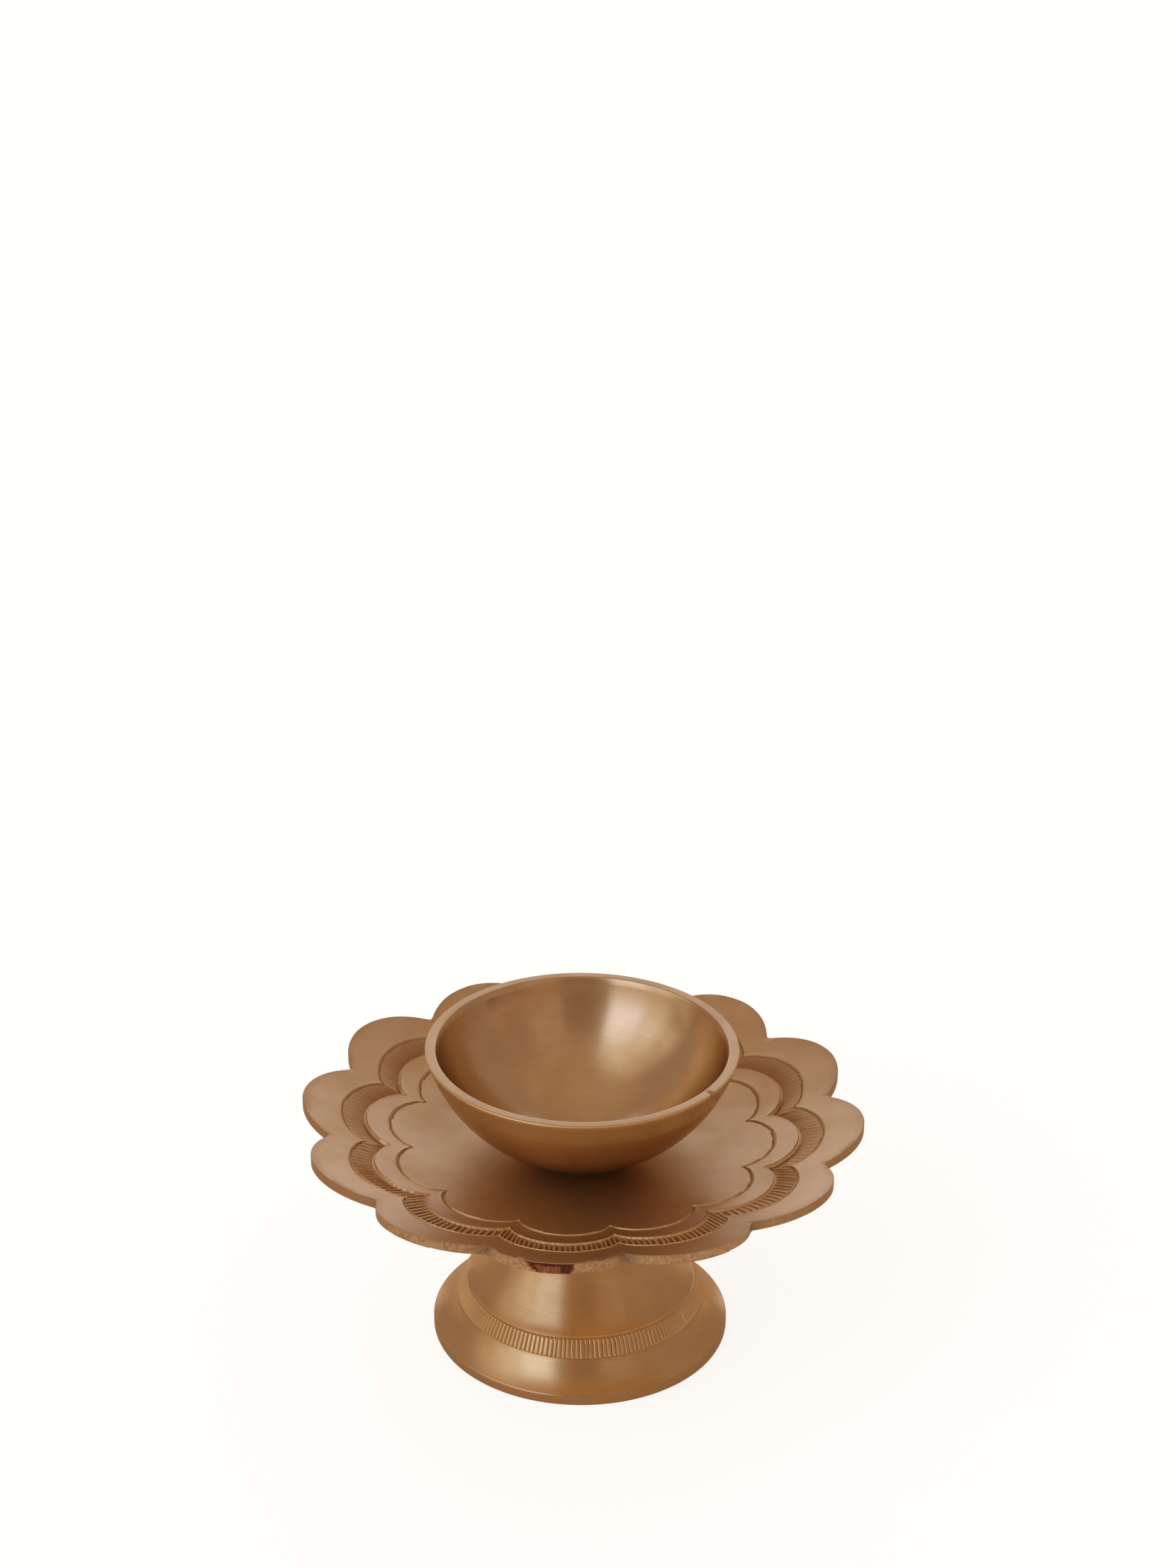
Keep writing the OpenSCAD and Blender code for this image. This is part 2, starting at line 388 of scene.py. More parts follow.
def band_floor(rails, r_in, r_out, sink):
    """The band's floor, rising outwards, with painted shade strongest at the inner wall and weaker at the
    front, a painted highlight on each stroke's ridge, and painted shade in the cuts between ridges.
    """
    angle, lean = rails.angle, stroke_lean(rails.angle)
    front, shown = near_front(angle, *FRONT_STRETCH), 0.15 + 0.85 * near_front(angle, 72, 100)
    full = near_front(angle, 55, 78)
    clean = 1 - 0.65 * smooth(np.degrees(from_front(angle)), 22, 42)
    ridge = np.tile(RIDGE_CREST, HATCHES) + np.tile(RIDGE_SIDES, HATCHES) * (0.5 + 0.5 * front)
    # where a stroke starts across the band, how deep it bites, how bright the painted highlight on its
    # ridge is and how far its two ends stray
    starts = for_each_stroke(0.25, 0.4) * (1 - full) - 0.3 * full
    bite = for_each_stroke(0.10, 0.14) * (1 + full * clean)
    strong = for_each_stroke(0.45, 1.0) * (1 - 0.35 * front) + 0.35 * front
    drift_in, drift_out = (for_each_stroke(-0.14, 0.14) * TURN / HATCHES for _ in range(2))
    for t in np.linspace(0, 1, 12):
        place = (angle - lean + drift_in) * (1 - t) + (angle + lean + drift_out) * t
        r = r_in * (1 - t) + r_out * t
        struck = smooth(t, starts, starts + 0.3)
        # light is a painted highlight on each ridge's crest and sides, strongest where the band faces the
        # front
        light = struck * ridge**2 * strong * shown
        depth = sink * (1 - t) ** (1.6 - 0.5 * front) * (1 - 0.45 * front) + 0.04
        depth = depth + bite * shown * struck * (1 - ridge)
        # shade is painted shade on the floor: strongest at the inner wall, less at the front and under the
        # ridge highlights
        shade = (1 - 0.7 * light) * (1 - 0.4 * t * (1 - front)) * (1 - 0.45 * front)
        # painted shade in the cuts between the ridges, strongest at the front and less to the right of it
        valley_shade = struck * (0.12 * shown + 0.45 * front * clean) * (1 - ridge)
        rails.add(r, dish(r) - depth, place, recess=shade, cut=0.8 * light, dirt=valley_shade)


def scalloped_edge(rails, start):
    """The petals' ends and their filed edge. Gives the rim's radius and how far it hangs down."""
    angle, lean = rails.angle, stroke_lean(rails.angle)
    # how low the filed corner lies, how torn the front notches are, and how coarse the front edge is
    filed = 0.15 + 0.05 * strikes(angle, 7, 1.0)[1]
    tear = bell(from_notch(angle), 0.035) * near_front(angle, 35, 60)
    pits = tear * rng.uniform(-0.1, 0.1, len(angle))
    coarse = near_front(angle, 30, 60)
    rim = lobed(PETAL_TIP, PETAL_END, angle, NOTCH_EASE)
    shoulder = lobed(PETAL_TIP - 0.2, PETAL_END - 0.2, angle, NOTCH_EASE)
    rails.add(start + 0.12, dish(start + 0.12), angle + lean)
    across_dish(rails, start + 0.15, shoulder - 0.1, 3, lean, 0.0)
    rails.add(shoulder + pits, dish(shoulder), edge=0.3, torn=0.6 * tear)
    rails.add(rim - 0.05 + pits, dish(rim) - filed, edge=0.8, rough=coarse, torn=tear)
    patch = edge_patch(from_front(angle))
    swell = 0.32 * bell(from_front(angle) - (FIRST_NOTCH - LOBE_HALF), math.radians(13))
    burr = 0.1 * strikes(angle, 3, 1.0)[1]
    top, foot = dish(rim) - filed, dish(rim, PLATE_T) + 0.2 - (swell + burr)
    for t in np.linspace(0, 1, 6):
        chatter = rng.uniform(-0.02, 0.0, len(angle)) + tear * rng.uniform(-0.14, 0.02, len(angle))
        worn = {"edge": 1.0, "rough": coarse, "torn": tear, "stain": patch(t)}
        rails.add(rim - 0.01 + chatter, top * (1 - t) + foot * t, **worn)
    rails.add(rim - 0.2, foot - 0.15, edge=0.5)
    return rim, swell


def edge_patch(side):
    """The old red-brown patch on the front petal's edge, as a function of the way down the edge."""
    left, right, slant = math.radians(-10.7), math.radians(-0.9), math.radians(2.6)
    grain = rng.uniform(0.25, 0.75, len(side))
    ragged = rng.uniform(-0.006, 0.006, len(side))

    def at(t):
        start, end = left + slant * t + ragged, right - 0.01 * t + ragged
        inside = smooth(side, start, start + 0.008) * (1 - smooth(side, end - 0.012, end + 0.004))
        border = (t < 0.3) | (side < start + 0.02) | (side > end - 0.04)
        return inside * np.where(border, 1.3, grain) * (1.0 if t < 0.9 else 0.6)

    return at


def plate_underside(rails, rim, swell):
    """The plain underside, from the edge in to the hole."""
    first, last = rim - 0.2, 8.6
    for t in (0.015, *np.linspace(0, 1, 10)[1:]):
        r = first * (1 - t) + last * t
        rails.add(r, np.maximum(dish(r, PLATE_T), PLATE_REST) - swell * (1 - t) ** 4)
    rails.profile([(SPIGOT_HOLE_R + 0.2, PLATE_REST), (SPIGOT_HOLE_R, PLATE_REST + 0.2)])


def petal_plate():
    """The dished plate: hole and seat, burin line, hatched band, scalloped edge and underside."""
    rails = Rails(stroke_angles(), "cut", "dirt", "recess", "edge", "rough", "torn", "stain")
    plate_seat(rails)
    line_edge = thin_line(rails)
    border_edge = hatched_band(rails, line_edge)
    rim, swell = scalloped_edge(rails, border_edge)
    plate_underside(rails, rim, swell)
    return rails.mesh("petal_plate_brass")


# ---------------------------------------------------------------- pedestal foot


def foot_skirt(rails):
    """The lip at the table and the skirt above it, up to the milled band."""
    lip = [(FOOT_R - 0.35, 0.0), (FOOT_R - 0.1, 0.1), (FOOT_R, 0.35), (FOOT_R, 1.9)]
    rails.profile(lip, edge=1.0)
    rails.profile([(FOOT_R - 0.03, 2.08)], edge=0.6)
    rails.profile([(FOOT_R - 0.18, 2.22)], edge=0.2)
    rails.profile(bowed((FOOT_R - 0.3, 2.3), (25.45, 7.2), 0.35, 8))
    rails.profile([(25.3, 7.32), (25.22, 7.42)])


def milled_band(rails):
    """The raised band of ribs, rounded at both edges; t runs from its lower edge to its upper one."""
    groove = np.tile(RIB_GROOVE, RIBS) * np.repeat(rng.uniform(0.75, 1.0, RIBS), len(RIB_RAILS))
    lower = [(0.0, 0.34, 0.06), (0.015, 0.2, 0.26), (0.05, 0.06, 0.3), (0.1, 0.0, 0.32)]
    middle = [(t, 0.0, 0.32) for t in np.linspace(0.2, 0.9, 5)]
    upper = [(0.96, 0.04, 0.28), (0.99, 0.14, 0.2), (1.0, 0.3, 0.1)]
    for t, inset, depth in lower + middle + upper:
        r, z = RIB_LOW * (1 - t) + RIB_HIGH * t
        rails.add(r - inset - groove * depth, z, cut=groove * 0.4)


def foot_cone(rails):
    """The bead above the band, the concave cone, and the collar that carries the plate."""
    bead = [(23.42, 11.16), (23.36, 11.26), (23.46, 11.42), (23.44, 11.6), (23.3, 11.74), (23.14, 11.86)]
    collar = [(10.9, 35.8), (12.0, 36.8), (12.4, 37.2), (12.4, 38.9), (12.1, FOOT_TOP)]
    rails.profile(bead)
    rails.profile(bowed((23.3, 11.6), (10.4, 34.8), 1.7, 16)[1:])
    rails.profile(rounded(collar, 0.15))


def foot_hollow(rails):
    """The counterbore and the stud's hole in the closed top, then the hollow down to the table."""
    counterbore = [(SPIGOT_HOLE_R + 0.2, FOOT_TOP), (SPIGOT_HOLE_R, 39.0), (SPIGOT_HOLE_R, 37.4)]
    rails.profile(rounded([*counterbore, (BORE_R, 37.4), (BORE_R, 35.2)], 0.05, 1))
    rails.profile([(BORE_R + 0.2, 35.2), (7.9, 35.2), (8.25, 34.9)])
    rails.profile(bowed((8.3, 33.2), (21.1, 10.3), -1.7, 10))
    rails.profile([(23.3, 6.0), (28.2, 1.95), (28.4, 1.6)])
    rails.profile([(28.4, 0.25), (28.55, 0.05), (28.7, 0.0)], edge=0.4)


def pedestal_foot():
    """The spun foot: lip, skirt, milled band, cone, collar and the hollow inside."""
    rails = Rails(spokes(RIBS, RIB_RAILS), "cut", "edge")
    foot_skirt(rails)
    milled_band(rails)
    foot_cone(rails)
    foot_hollow(rails)
    return rails.mesh("pedestal_foot_brass")


# ---------------------------------------------------------------- bowl

INNER_RIM_R = RIM_R - BOWL_WALL
NICK_AT = math.radians(54)


def cap_arc(rim, low, depth, first, last, steps):
    """Points on a spherical cap between two distances from the axis."""
    big = sphere_r(rim, depth)
    tilt = np.linspace(math.asin(first / big), math.asin(min(last / big, 1)), steps)
    return np.stack([big * np.sin(tilt), low + big - big * np.cos(tilt)], -1)


def bowl_profile():
    """The bowl's outline from the middle of its inside, over the rim and back to the stud's socket:
    (radius, height, how much it belongs to the rim's flat top)."""
    depth = RIM_Z - BOWL_Z
    inside = cap_arc(INNER_RIM_R, BOWL_Z + BOWL_BASE, depth - BOWL_BASE, 0.4, INNER_RIM_R - 0.04, 30)
    outside = cap_arc(RIM_R, BOWL_Z, depth, STUD_R, RIM_R - 0.02, 34)[::-1]
    inner_edge = [(INNER_RIM_R + 0.02, RIM_Z - 0.05, 0.4), (INNER_RIM_R + 0.1, RIM_Z, 0.6)]
    flat = [(r, RIM_Z, 1.0) for r in (INNER_RIM_R + 0.5, RIM_R - 0.6, RIM_R - 0.22)]
    bevel = [(RIM_R - 0.1, RIM_Z - 0.05, 0.6), (RIM_R - 0.01, RIM_Z - 0.2, 0.3)]
    socket = [(STUD_R, BOWL_Z + 1.1, 0.0), (0.4, BOWL_Z + 1.1, 0.0)]
    inside, outside = ([(*point, 0.0) for point in arc] for arc in (inside[:-1], outside[1:]))
    return inside + inner_edge + flat + bevel + outside + socket


def oil_bowl():
    """The turned bowl, with its rim worn at the front and one nick in it; the rim's bevel has a painted
    highlight round the front, and the inside just below the rim has painted shade, most on the right.
    """
    angle = spokes(720)
    r, z, flat = (np.repeat(v[:, None], len(angle), 1) for v in np.array(bowl_profile()).T)
    near_rim = smooth(z, RIM_Z - 1.2, RIM_Z) * smooth(r, RIM_R - 1.5, RIM_R - 0.2)
    nick = bell((angle - NICK_AT) * RIM_R, 0.55) * near_rim
    # worn lowers the rim's flat top a little and paints a highlight on its bevel, both most just left of
    # the front
    worn = 0.5 + 0.5 * np.cos(angle + math.radians(15))
    worn = np.clip(worn + rng.uniform(-0.2, 0.2, len(angle)), 0, 1)
    z = z - nick * 0.3 - near_rim * (flat > 0) * 0.02 * worn
    r = r - nick * 0.25
    # painted shade on the inside just below the rim, none on the left and most on the right
    rim_shade = smooth(r, INNER_RIM_R - 4.0, INNER_RIM_R - 0.5) * (r < INNER_RIM_R) * (z > BOWL_Z + BOWL_BASE)
    rim_shade = rim_shade * (0.25 + 0.25 * np.sin(angle))
    # the bright cut colour here is a painted highlight on the rim's bevel, and the darker colour is painted
    # shade inside the rim
    marks = {"recess": rim_shade, "cut": near_rim * worn * (flat < 0.9), "stain": np.clip(nick, 0, 0.2)}
    return ring_mesh("oil_bowl_brass", r, z, angle, marks, capped=True)


# ---------------------------------------------------------------- fastening under the bowl


def bowl_boss():
    """The brazed boss: a flange that follows the bowl's underside, and a spigot with the stud's hole."""
    big = sphere_r(RIM_R, RIM_Z - BOWL_Z)
    flange = boss_high.x
    under = [(r, BOWL_Z + big - math.sqrt(big * big - r * r)) for r in np.linspace(flange - 0.1, STUD_R, 6)]
    low = boss_low.z
    side = [(flange, SEAT_Z + 0.05), (flange, under[0][1] - 0.25), (flange - 0.03, under[0][1] - 0.08)]
    spigot = [(STUD_R, low + 0.2), (STUD_R + 0.2, low), (SPIGOT_R - 0.3, low), (SPIGOT_R, low + 0.3)]
    neck = [(SPIGOT_R, SEAT_Z - 0.12), (SPIGOT_R + 0.05, SEAT_Z)]
    return turned("bowl_boss_brass", spigot + neck + [(flange - 0.05, SEAT_Z)] + side + under, 192)


def threaded(radius, low, high, depth, step, count):
    """Rows of a right-hand V thread between two heights. depth below 0 cuts outwards, as in a nut."""
    height = np.arange(low, high + step / 2, step)[:, None]
    angle = spokes(count)[None, :]
    phase = np.mod((height - angle / TURN * THREAD_PITCH) / THREAD_PITCH, 1)
    groove = np.clip(1.25 - np.abs(phase - 0.5) * 3.4, 0, 1)
    fade = smooth(height, low, low + 0.9) * (1 - smooth(height, high - 0.9, high))
    return radius - depth * groove * fade, np.broadcast_to(height, groove.shape), angle


def tie_stud():
    """The threaded stud, with a tapered end below; its top ends in the bowl's bottom."""
    low, high = stud_low.z, stud_high.z
    r, z, angle = threaded(STUD_R, low + 0.45, high, depth=0.4, step=0.1, count=72)
    r = np.minimum(r, STUD_R - 0.5 * (1 - smooth(z, low - 0.2, low + 0.9)))

    def plain(points):
        """Round rings from (r, z) points, as arrays of radius and height."""
        return np.repeat(np.array(points).T[:, :, None], r.shape[1], 2)

    end_r, end_z = plain([(0.3, low), (1.0, low), (1.7, low), (STUD_R - 0.55, low + 0.04)])
    top_r, top_z = plain([(0.3, high)])
    r, z = np.vstack([end_r, r, top_r]), np.vstack([end_z, z, top_z])
    return ring_mesh("tie_stud_brass", r, z, angle, capped=True)


def flat_washer():
    """The washer, whose outer edge is rounder below, as punched."""
    out, low, high = washer_high.x, washer_low.z, washer_high.z
    profile = rounded([(BORE_R, low), (out, low, 0.3), (out, high, 0.12), (BORE_R, high)], 0.12, 3)
    return turned("flat_washer_steel", profile, 128)


def hex_nut():
    """A nut with a threaded bore, six flats and the turned bevel at both ends."""
    low, high = nut_low.z, nut_high.z
    flat_r = min(nut_high.x, nut_high.y)
    corner_r = flat_r / math.cos(TURN / 12)
    bevel = (corner_r - flat_r) * 0.6
    angle = spokes(6, np.linspace(0, 1, 24, endpoint=False))
    pointing = TURN / 4 if nut_high.x > nut_high.y else 0.0
    hexagon = flat_r / np.cos(np.mod(angle - pointing, TURN / 6) - TURN / 12)
    hexagon = np.minimum(hexagon, corner_r - 0.06)
    cone = list(enumerate(np.linspace(flat_r, corner_r, 5)))
    r, z, _ = threaded(BORE_R, low + 0.3, high - 0.3, depth=-0.3, step=0.1, count=len(angle))
    rails = Rails(angle)
    rails.add(flat_r - 0.25, low)
    for k, limit in cone:
        rails.add(np.minimum(hexagon, limit), low + bevel * k / 4)
    for t in (0.2, 0.5, 0.8):
        rails.add(hexagon, low * (1 - t) + high * t)
    for k, limit in cone[::-1]:
        rails.add(np.minimum(hexagon, limit), high - bevel * k / 4)
    rails.profile([(flat_r - 0.25, high), (BORE_R + 0.35, high)])
    for thread_r, thread_z in zip(r[::-1], z[::-1]):
        rails.add(thread_r, thread_z)
    rails.add(BORE_R + 0.35, low)
    return rails.mesh("hex_nut_steel")


# ---------------------------------------------------------------- materials


class Nodes:
    """The node tree of a material or world, with one short call for each kind of node."""

    def __init__(self, owner):
        owner.use_nodes = True
        self.tree = owner.node_tree

    def shade(self, shader, inputs):
        """Sets or links the named inputs of the tree's own shader."""
        for key, value in inputs.items():
            self.put(value, self.tree.nodes[shader].inputs[key])

    def make(self, kind, inputs=(), **settings):
        """A node whose inputs, by name or number, are set or linked."""
        node = self.tree.nodes.new(kind)
        for key, value in settings.items():
            setattr(node, key, value)
        for key, value in dict(inputs).items():
            self.put(value, node.inputs[key])
        return node

    def put(self, value, socket):
        if isinstance(value, bpy.types.NodeSocket):
            self.tree.links.new(value, socket)
        else:
            socket.default_value = value

    def math(self, operation, a, b=0.0, clamp=False):
        made = self.make("ShaderNodeMath", {0: a, 1: b}, operation=operation, use_clamp=clamp)
        return made.outputs[0]

    def times(self, a, b):
        return self.math("MULTIPLY", a, b)

    def plus(self, a, b):
        return self.math("ADD", a, b)

    def mix(self, factor, a, b):
        """Colour a, or b where the factor is 1."""
        return self.make("ShaderNodeMix", {0: factor, 6: a, 7: b}, data_type="RGBA").outputs[2]

    def ramp(self, value, low, high, to_low=0.0, to_high=1.0):
        """Goes smoothly from to_low, below low, to to_high, above high."""
        inputs = {0: value, 1: low, 2: high, 3: to_low, 4: to_high}
        return self.make("ShaderNodeMapRange", inputs, interpolation_type="SMOOTHSTEP").outputs[0]

    def noise(self, vector, scale, detail=3.0, roughness=0.5):
        inputs = {"Vector": vector, "Scale": scale, "Detail": detail, "Roughness": roughness}
        return self.make("ShaderNodeTexNoise", inputs).outputs[0]

    def xyz(self, x, y, z):
        return self.make("ShaderNodeCombineXYZ", {0: x, 1: y, 2: z}).outputs[0]

    def mark(self, name):
        """A value from 0 to 1 that the mesh carries."""
        return self.make("ShaderNodeAttribute", attribute_name=name).outputs["Fac"]

    def millimetres(self):
        """Object coordinates in millimetres."""
        place = self.make("ShaderNodeTexCoord").outputs["Object"]
        scale = (1 / MM, 1 / MM, 1 / MM)
        return self.make("ShaderNodeVectorMath", {0: place, 1: scale}, operation="MULTIPLY").outputs[0]

    def lathe_space(self, place):
        """Distance from the axis, height, and angle round it."""
        x, y, height = self.make("ShaderNodeSeparateXYZ", {0: place}).outputs
        flat = self.make("ShaderNodeVectorMath", {0: place, 1: (1, 1, 0)}, operation="MULTIPLY").outputs[0]
        away = self.make("ShaderNodeVectorMath", {0: flat}, operation="LENGTH").outputs[1]
        return away, height, self.math("ARCTAN2", x, y)


BRASS = (0.76, 0.54, 0.28, 1)
BOWL_BRASS = (0.77, 0.565, 0.335, 1)
PLATE_BRASS = (0.79, 0.57, 0.325, 1)
BRASS_DEEP = (0.64, 0.415, 0.19, 1)
# bright cut brass, which also paints highlights on the band's wall and ridges and on the bowl's rim bevel
CUT_AND_HIGHLIGHT_BRASS = (0.96, 0.70, 0.36, 1)
BRASS_FILED = (0.50, 0.32, 0.16, 1)
FILED_PALE = (0.70, 0.53, 0.34, 1)
# painted shade: the plate's sunk band, strongest at its inner wall, and the bowl's inside just below the
# rim
PAINTED_SHADE_BRASS = (0.43, 0.215, 0.075, 1)
# painted shade in the burin lines and in the cuts between the band's strokes
GROOVE_SHADE_BROWN = (0.13, 0.065, 0.03, 1)
NOTCH_GREY = (0.25, 0.20, 0.14, 1)
STAIN_PALE, STAIN_DARK = (0.34, 0.12, 0.05, 1), (0.10, 0.025, 0.02, 1)
PALE_SPECK = (0.86, 0.76, 0.62, 1)
LACQUER_TINT = (0.68, 0.56, 0.42, 1)
ZINC, ZINC_DULL = (0.56, 0.56, 0.54, 1), (0.40, 0.40, 0.37, 1)


def brass_metal(n, base, line_depth, fine, blotch, specks):
    """Clean metal, deeper in soft blotches and fine lines, with pale specks."""
    tint = n.times(n.ramp(blotch, 0.35, 0.7), 0.5)
    tint = n.math("ADD", tint, n.times(n.ramp(fine, 0.35, 0.7), line_depth), clamp=True)
    return n.mix(n.times(specks, 0.5), n.mix(tint, base, BRASS_DEEP), PALE_SPECK)


def brass_wear(n, colour, mottle):
    """The metal's colour where the mesh is marked with painted shade, with fresh cuts and painted
    highlights, with painted shade in grooves, or as filed, torn or stained.
    """
    # painted shade where the mesh is marked for it
    colour = n.mix(n.times(n.mark("recess"), 0.9), colour, PAINTED_SHADE_BRASS)
    # bright cut colour: fresh cuts, and painted highlights on the band's wall and ridges and the bowl's rim
    # bevel
    colour = n.mix(n.mark("cut"), colour, CUT_AND_HIGHLIGHT_BRASS)
    # painted shade in the grooves and between the band's strokes
    colour = n.mix(n.times(n.mark("dirt"), 0.65), colour, GROOVE_SHADE_BROWN)
    colour = n.mix(n.mark("edge"), colour, BRASS_FILED)
    colour = n.mix(n.times(n.mark("rough"), n.ramp(mottle, 0.36, 0.62)), colour, FILED_PALE)
    colour = n.mix(n.times(n.mark("torn"), n.ramp(mottle, 0.40, 0.60, 0.25, 1.0)), colour, NOTCH_GREY)
    stain = n.times(n.mark("stain"), n.ramp(mottle, 0.35, 0.6, 1.0, 0.6))
    colour = n.mix(n.ramp(stain, 0.0, 0.35), colour, STAIN_PALE)
    return n.mix(n.ramp(stain, 0.55, 0.95), colour, STAIN_DARK)


def brass_gloss(n, rough, fine, blotch):
    """Roughness round this value, duller in blotches, on filed edges and in fresh cuts."""
    gloss = n.plus(n.times(fine, 0.08), rough - 0.04)
    gloss = n.plus(gloss, n.times(n.ramp(blotch, 0.4, 0.7), 0.05))
    gloss = n.plus(gloss, n.times(n.mark("edge"), 0.1))
    return n.plus(gloss, n.times(n.mark("cut"), 0.25))


def brass_relief(n, depth, fine, broad, specks, mottle):
    """Fine relief of lines, specks and, on rough edges, pits; depth is in millimetres."""
    height = n.plus(fine, n.times(broad, 0.8))
    height = n.plus(height, n.times(specks, -0.5))
    height = n.plus(height, n.times(n.times(n.mark("rough"), mottle), 3.0))
    return n.make("ShaderNodeBump", {"Height": height, "Strength": 0.35, "Distance": depth * MM}).outputs[0]


def brass(name, base=BRASS, rough=0.34, anisotropic=0.5, spun=True, relief=0.02):
    """Lacquered brass with soft blotches, and with wear, painted shade and painted highlights where the
    mesh is marked.

    spun gives it turning lines; relief is the depth of its fine lines in millimetres.
    """
    material = bpy.data.materials.new(name)
    n = Nodes(material)
    place = n.millimetres()
    away, height, angle = n.lathe_space(place)
    ring = n.xyz(away, height, n.times(angle, 0.7))
    fine = n.noise(ring, 3.0, 4.0, 0.65) if spun else n.noise(place, 5.0, 4.0, 0.65)
    broad = n.noise(ring, 0.35, 2.0) if spun else n.noise(place, 0.5, 2.0)
    blotch = n.noise(place, 0.09, 3.0, 0.55)
    specks = n.ramp(n.noise(place, 3.6, 1.0), 0.74, 0.80)
    file_strokes = n.noise(n.xyz(n.times(angle, 90.0), height, away), 1.0, 2.0)
    mottle = n.times(n.plus(n.noise(place, 1.1, 4.0, 0.65), file_strokes), 0.5)
    metal = brass_metal(n, base, 0.22 if spun else 0.1, fine, blotch, specks)
    surface = {
        "Base Color": brass_wear(n, metal, mottle),
        "Roughness": brass_gloss(n, rough, fine, blotch),
        "Normal": brass_relief(n, relief, fine, broad, specks, mottle),
        "Tangent": n.make("ShaderNodeTangent", direction_type="RADIAL", axis="Z").outputs[0],
        "Metallic": 0.92,
        "Anisotropic": anisotropic,
        "Anisotropic Rotation": 0.25,
        "Specular Tint": LACQUER_TINT,
        "Coat Weight": n.math("SUBTRACT", 0.5, n.times(n.mark("recess"), 0.5)),
        "Coat Roughness": 0.22,
    }
    n.shade("Principled BSDF", surface)
    return material


def steel(name):
    """Zinc-plated steel with a faint mottled film."""
    material = bpy.data.materials.new(name)
    n = Nodes(material)
    place = n.millimetres()
    mottle = n.noise(place, 0.9, 4.0, 0.6)
    grain = {"Height": n.noise(place, 6.0, 3.0), "Strength": 0.25, "Distance": 0.02 * MM}
    surface = {
        "Base Color": n.mix(n.ramp(mottle, 0.35, 0.7), ZINC, ZINC_DULL),
        "Roughness": n.ramp(mottle, 0.3, 0.7, 0.28, 0.46),
        "Normal": n.make("ShaderNodeBump", grain).outputs[0],
        "Metallic": 1.0,
    }
    n.shade("Principled BSDF", surface)
    return material


# ---------------------------------------------------------------- the object's pieces


def fit(obj, body, node, material):
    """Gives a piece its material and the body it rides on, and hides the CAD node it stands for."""
    obj.data.materials.append(material)
    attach(obj, body)
    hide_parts(node)


foot_brass = brass("foot_brass", rough=0.26, anisotropic=0.6, relief=0.01)
bowl_brass = brass("bowl_brass", base=BOWL_BRASS, rough=0.21, anisotropic=0.6, relief=0.006)
plate_brass = brass("plate_brass", base=PLATE_BRASS, rough=0.38, anisotropic=0.1, spun=False)
fitting_brass = brass("fitting_brass", rough=0.4, anisotropic=0.2, relief=0.03)
hardware_steel = steel("hardware_steel")

fit(pedestal_foot(), "foot", "pedestal_foot", foot_brass)
fit(petal_plate(), "plate", "petal_plate", plate_brass)
fit(oil_bowl(), "bowl", "bowl", bowl_brass)
fit(bowl_boss(), "bowl", "bowl_boss", fitting_brass)
fit(tie_stud(), "bowl", "tie_stud", fitting_brass)
fit(flat_washer(), "washer", "flat_washer", hardware_steel)
fit(hex_nut(), "nut", "hex_nut", hardware_steel)

# ---------------------------------------------------------------- floor, light and camera

FLOOR_HALF = 12.0
FLOOR_DIFFUSE = (0.40, 0.40, 0.40, 1)
FLOOR_PAPER = (0.82, 0.84, 0.828, 1)
FLOOR_AS_LIGHT = (0.40, 0.26, 0.15, 1)
SWEEP_PAPER = (1.0, 0.985, 0.945, 1)
ROOM_WALL, ROOM_CEILING = (0.37, 0.25, 0.18, 1), (0.45, 0.31, 0.21, 1)
# Soft-edged panels of light round the lamp, each laid over those before it. In degrees: its middle to
# the right of the front, half its width, its lowest and highest level and its softness; then its colour.
PANELS = (
    (180, 32, -10, 38, 5, (0.69, 0.63, 0.70, 1)),  # the sweep behind
    (180, 32, -4, 14, 4, (0.93, 0.87, 0.98, 1)),  # its bright foot
    (57, 23, -10, 12, 4, (0.08, 0.05, 0.05, 1)),  # dark, low on the right
    (12, 24, -10, 12, 4, (0.44, 0.39, 0.35, 1)),  # grey, low in front
    (-24, 12, -10, 12, 4, (0.61, 0.50, 0.37, 1)),  # warm, low at the front left
    (-66, 30, -10, 12, 4, (0.74, 0.64, 0.52, 1)),  # pale, low on the left
    (50, 32, 12, 24, 4, (0.48, 0.30, 0.19, 1)),  # brown, above the dark one
    (35, 17, 24, 54, 4, (0.48, 0.33, 0.25, 1)),  # brown, higher at the front right
    (-85, 11, 20, 70, 5, (0.68, 0.56, 0.45, 1)),  # tall strip on the left
    (-50, 27, 12, 26, 5, (0.82, 0.74, 0.67, 1)),  # under the soft box
    (-67, 10, 24, 54, 5, (0.89, 0.83, 0.86, 1)),  # beside the soft box
    (-52, 24, 52, 72, 6, (0.81, 0.74, 0.66, 1)),  # above the soft box
    (-40, 16, 22, 54, 5, (1.13, 1.22, 1.55, 1)),  # the soft box at the front left
    (3, 15, 22, 54, 3, (0.29, 0.18, 0.11, 1)),  # dark gap in front, beside the soft box
)
CAMERA_AT = Vector((0.693, -500.219, 346.011))
CAMERA_PITCH, CAMERA_ROLL = math.radians(24.078), math.radians(0.5075)
LENS = 65.495


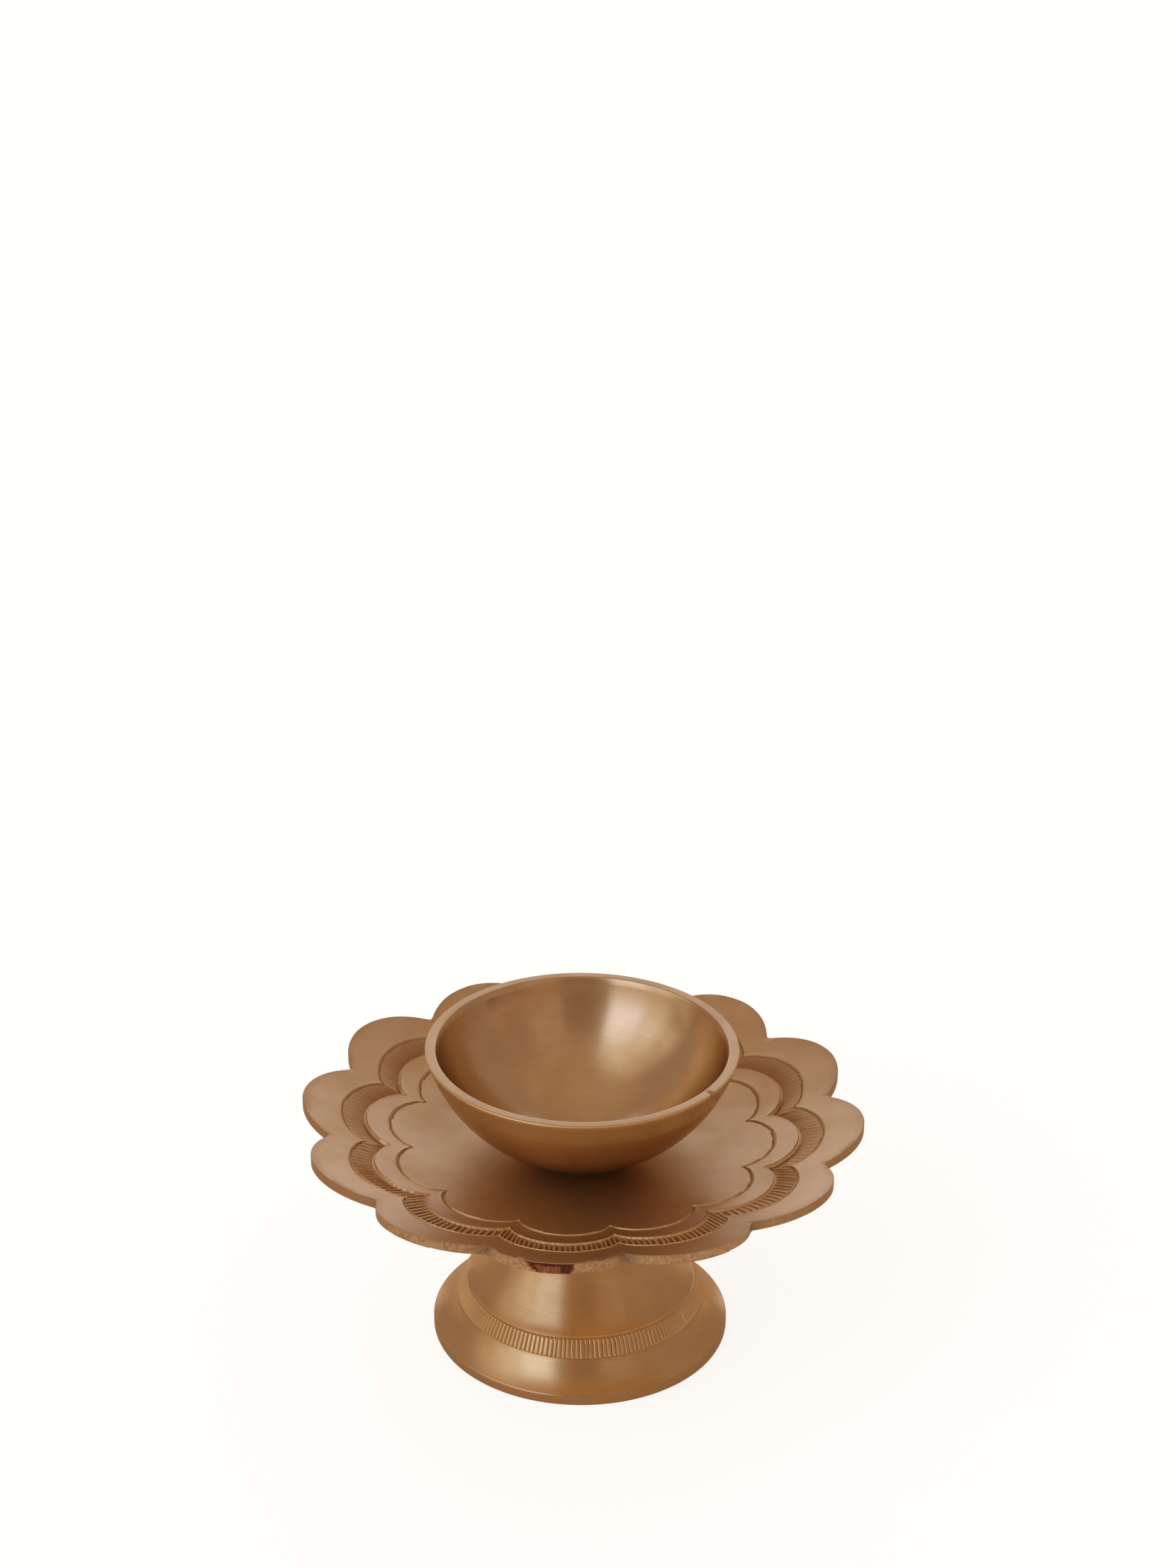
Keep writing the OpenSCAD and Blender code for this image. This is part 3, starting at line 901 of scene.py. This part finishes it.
def floor():
    """A wide floor: pale paper to the camera, and a dim warm reflector to the lamp."""
    mesh = bpy.data.meshes.new("floor")
    corners = [(x * FLOOR_HALF, y * FLOOR_HALF, 0) for x, y in ((-1, -1), (1, -1), (1, 1), (-1, 1))]
    mesh.from_pydata(corners, [], [(0, 1, 2, 3)])
    obj = bpy.data.objects.new("floor", mesh)
    bpy.context.scene.collection.objects.link(obj)
    paper = bpy.data.materials.new("floor_paper")
    n = Nodes(paper)
    seen = n.make("ShaderNodeLightPath").outputs["Is Camera Ray"]
    surface = {
        "Base Color": FLOOR_DIFFUSE,
        "Specular IOR Level": 0.0,
        "Roughness": 1.0,
        "Emission Color": n.mix(seen, FLOOR_AS_LIGHT, FLOOR_PAPER),
        "Emission Strength": 1.0,
    }
    n.shade("Principled BSDF", surface)
    obj.data.materials.append(paper)


def lay_panel(n, around, level, colour, panel):
    """One of PANELS laid over the colour that is there."""
    middle, half, low, high, soft, light = panel
    turn = {0: n.math("SUBTRACT", around, middle), 1: -180.0, 2: 180.0}
    aside = n.math("ABSOLUTE", n.make("ShaderNodeMath", turn, operation="WRAP").outputs[0])
    inside = n.ramp(aside, half - soft, half + soft, 1.0, 0.0)
    inside = n.times(inside, n.ramp(level, low - soft, low + soft))
    inside = n.times(inside, n.ramp(level, high - soft, high + soft, 1.0, 0.0))
    return n.mix(inside, colour, light)


def studio():
    """A warm room with a pale sweep behind, a bright left side and a soft box at the front left.
    The camera itself sees plain paper beyond the floor."""
    world = bpy.data.worlds.new("studio")
    bpy.context.scene.world = world
    n = Nodes(world)
    toward = n.make("ShaderNodeTexCoord").outputs["Generated"]
    x, y, z = n.make("ShaderNodeSeparateXYZ", {0: toward}).outputs
    level = n.times(n.math("ARCSINE", z), math.degrees(1))
    around = n.times(n.math("ARCTAN2", x, n.times(y, -1.0)), math.degrees(1))
    colour = n.mix(n.ramp(level, 44.0, 58.0), ROOM_WALL, ROOM_CEILING)
    for panel in PANELS:
        colour = lay_panel(n, around, level, colour, panel)
    seen = n.make("ShaderNodeLightPath").outputs["Is Camera Ray"]
    n.shade("Background", {"Color": n.mix(seen, colour, SWEEP_PAPER)})


def camera():
    """The photograph's viewpoint, found from the rim, the petals and the foot."""
    data = bpy.data.cameras.new("camera")
    data.sensor_width = 36.0
    data.lens = LENS
    data.clip_start, data.clip_end = 0.02, 60.0
    obj = bpy.data.objects.new("camera", data)
    bpy.context.scene.collection.objects.link(obj)
    turn = Matrix.Rotation(TURN / 4 - CAMERA_PITCH, 4, "X") @ Matrix.Rotation(CAMERA_ROLL, 4, "Z")
    obj.matrix_world = Matrix.Translation(CAMERA_AT * MM) @ turn
    bpy.context.scene.camera = obj


floor()
studio()
camera()
bpy.context.scene.view_settings.view_transform = "Standard"
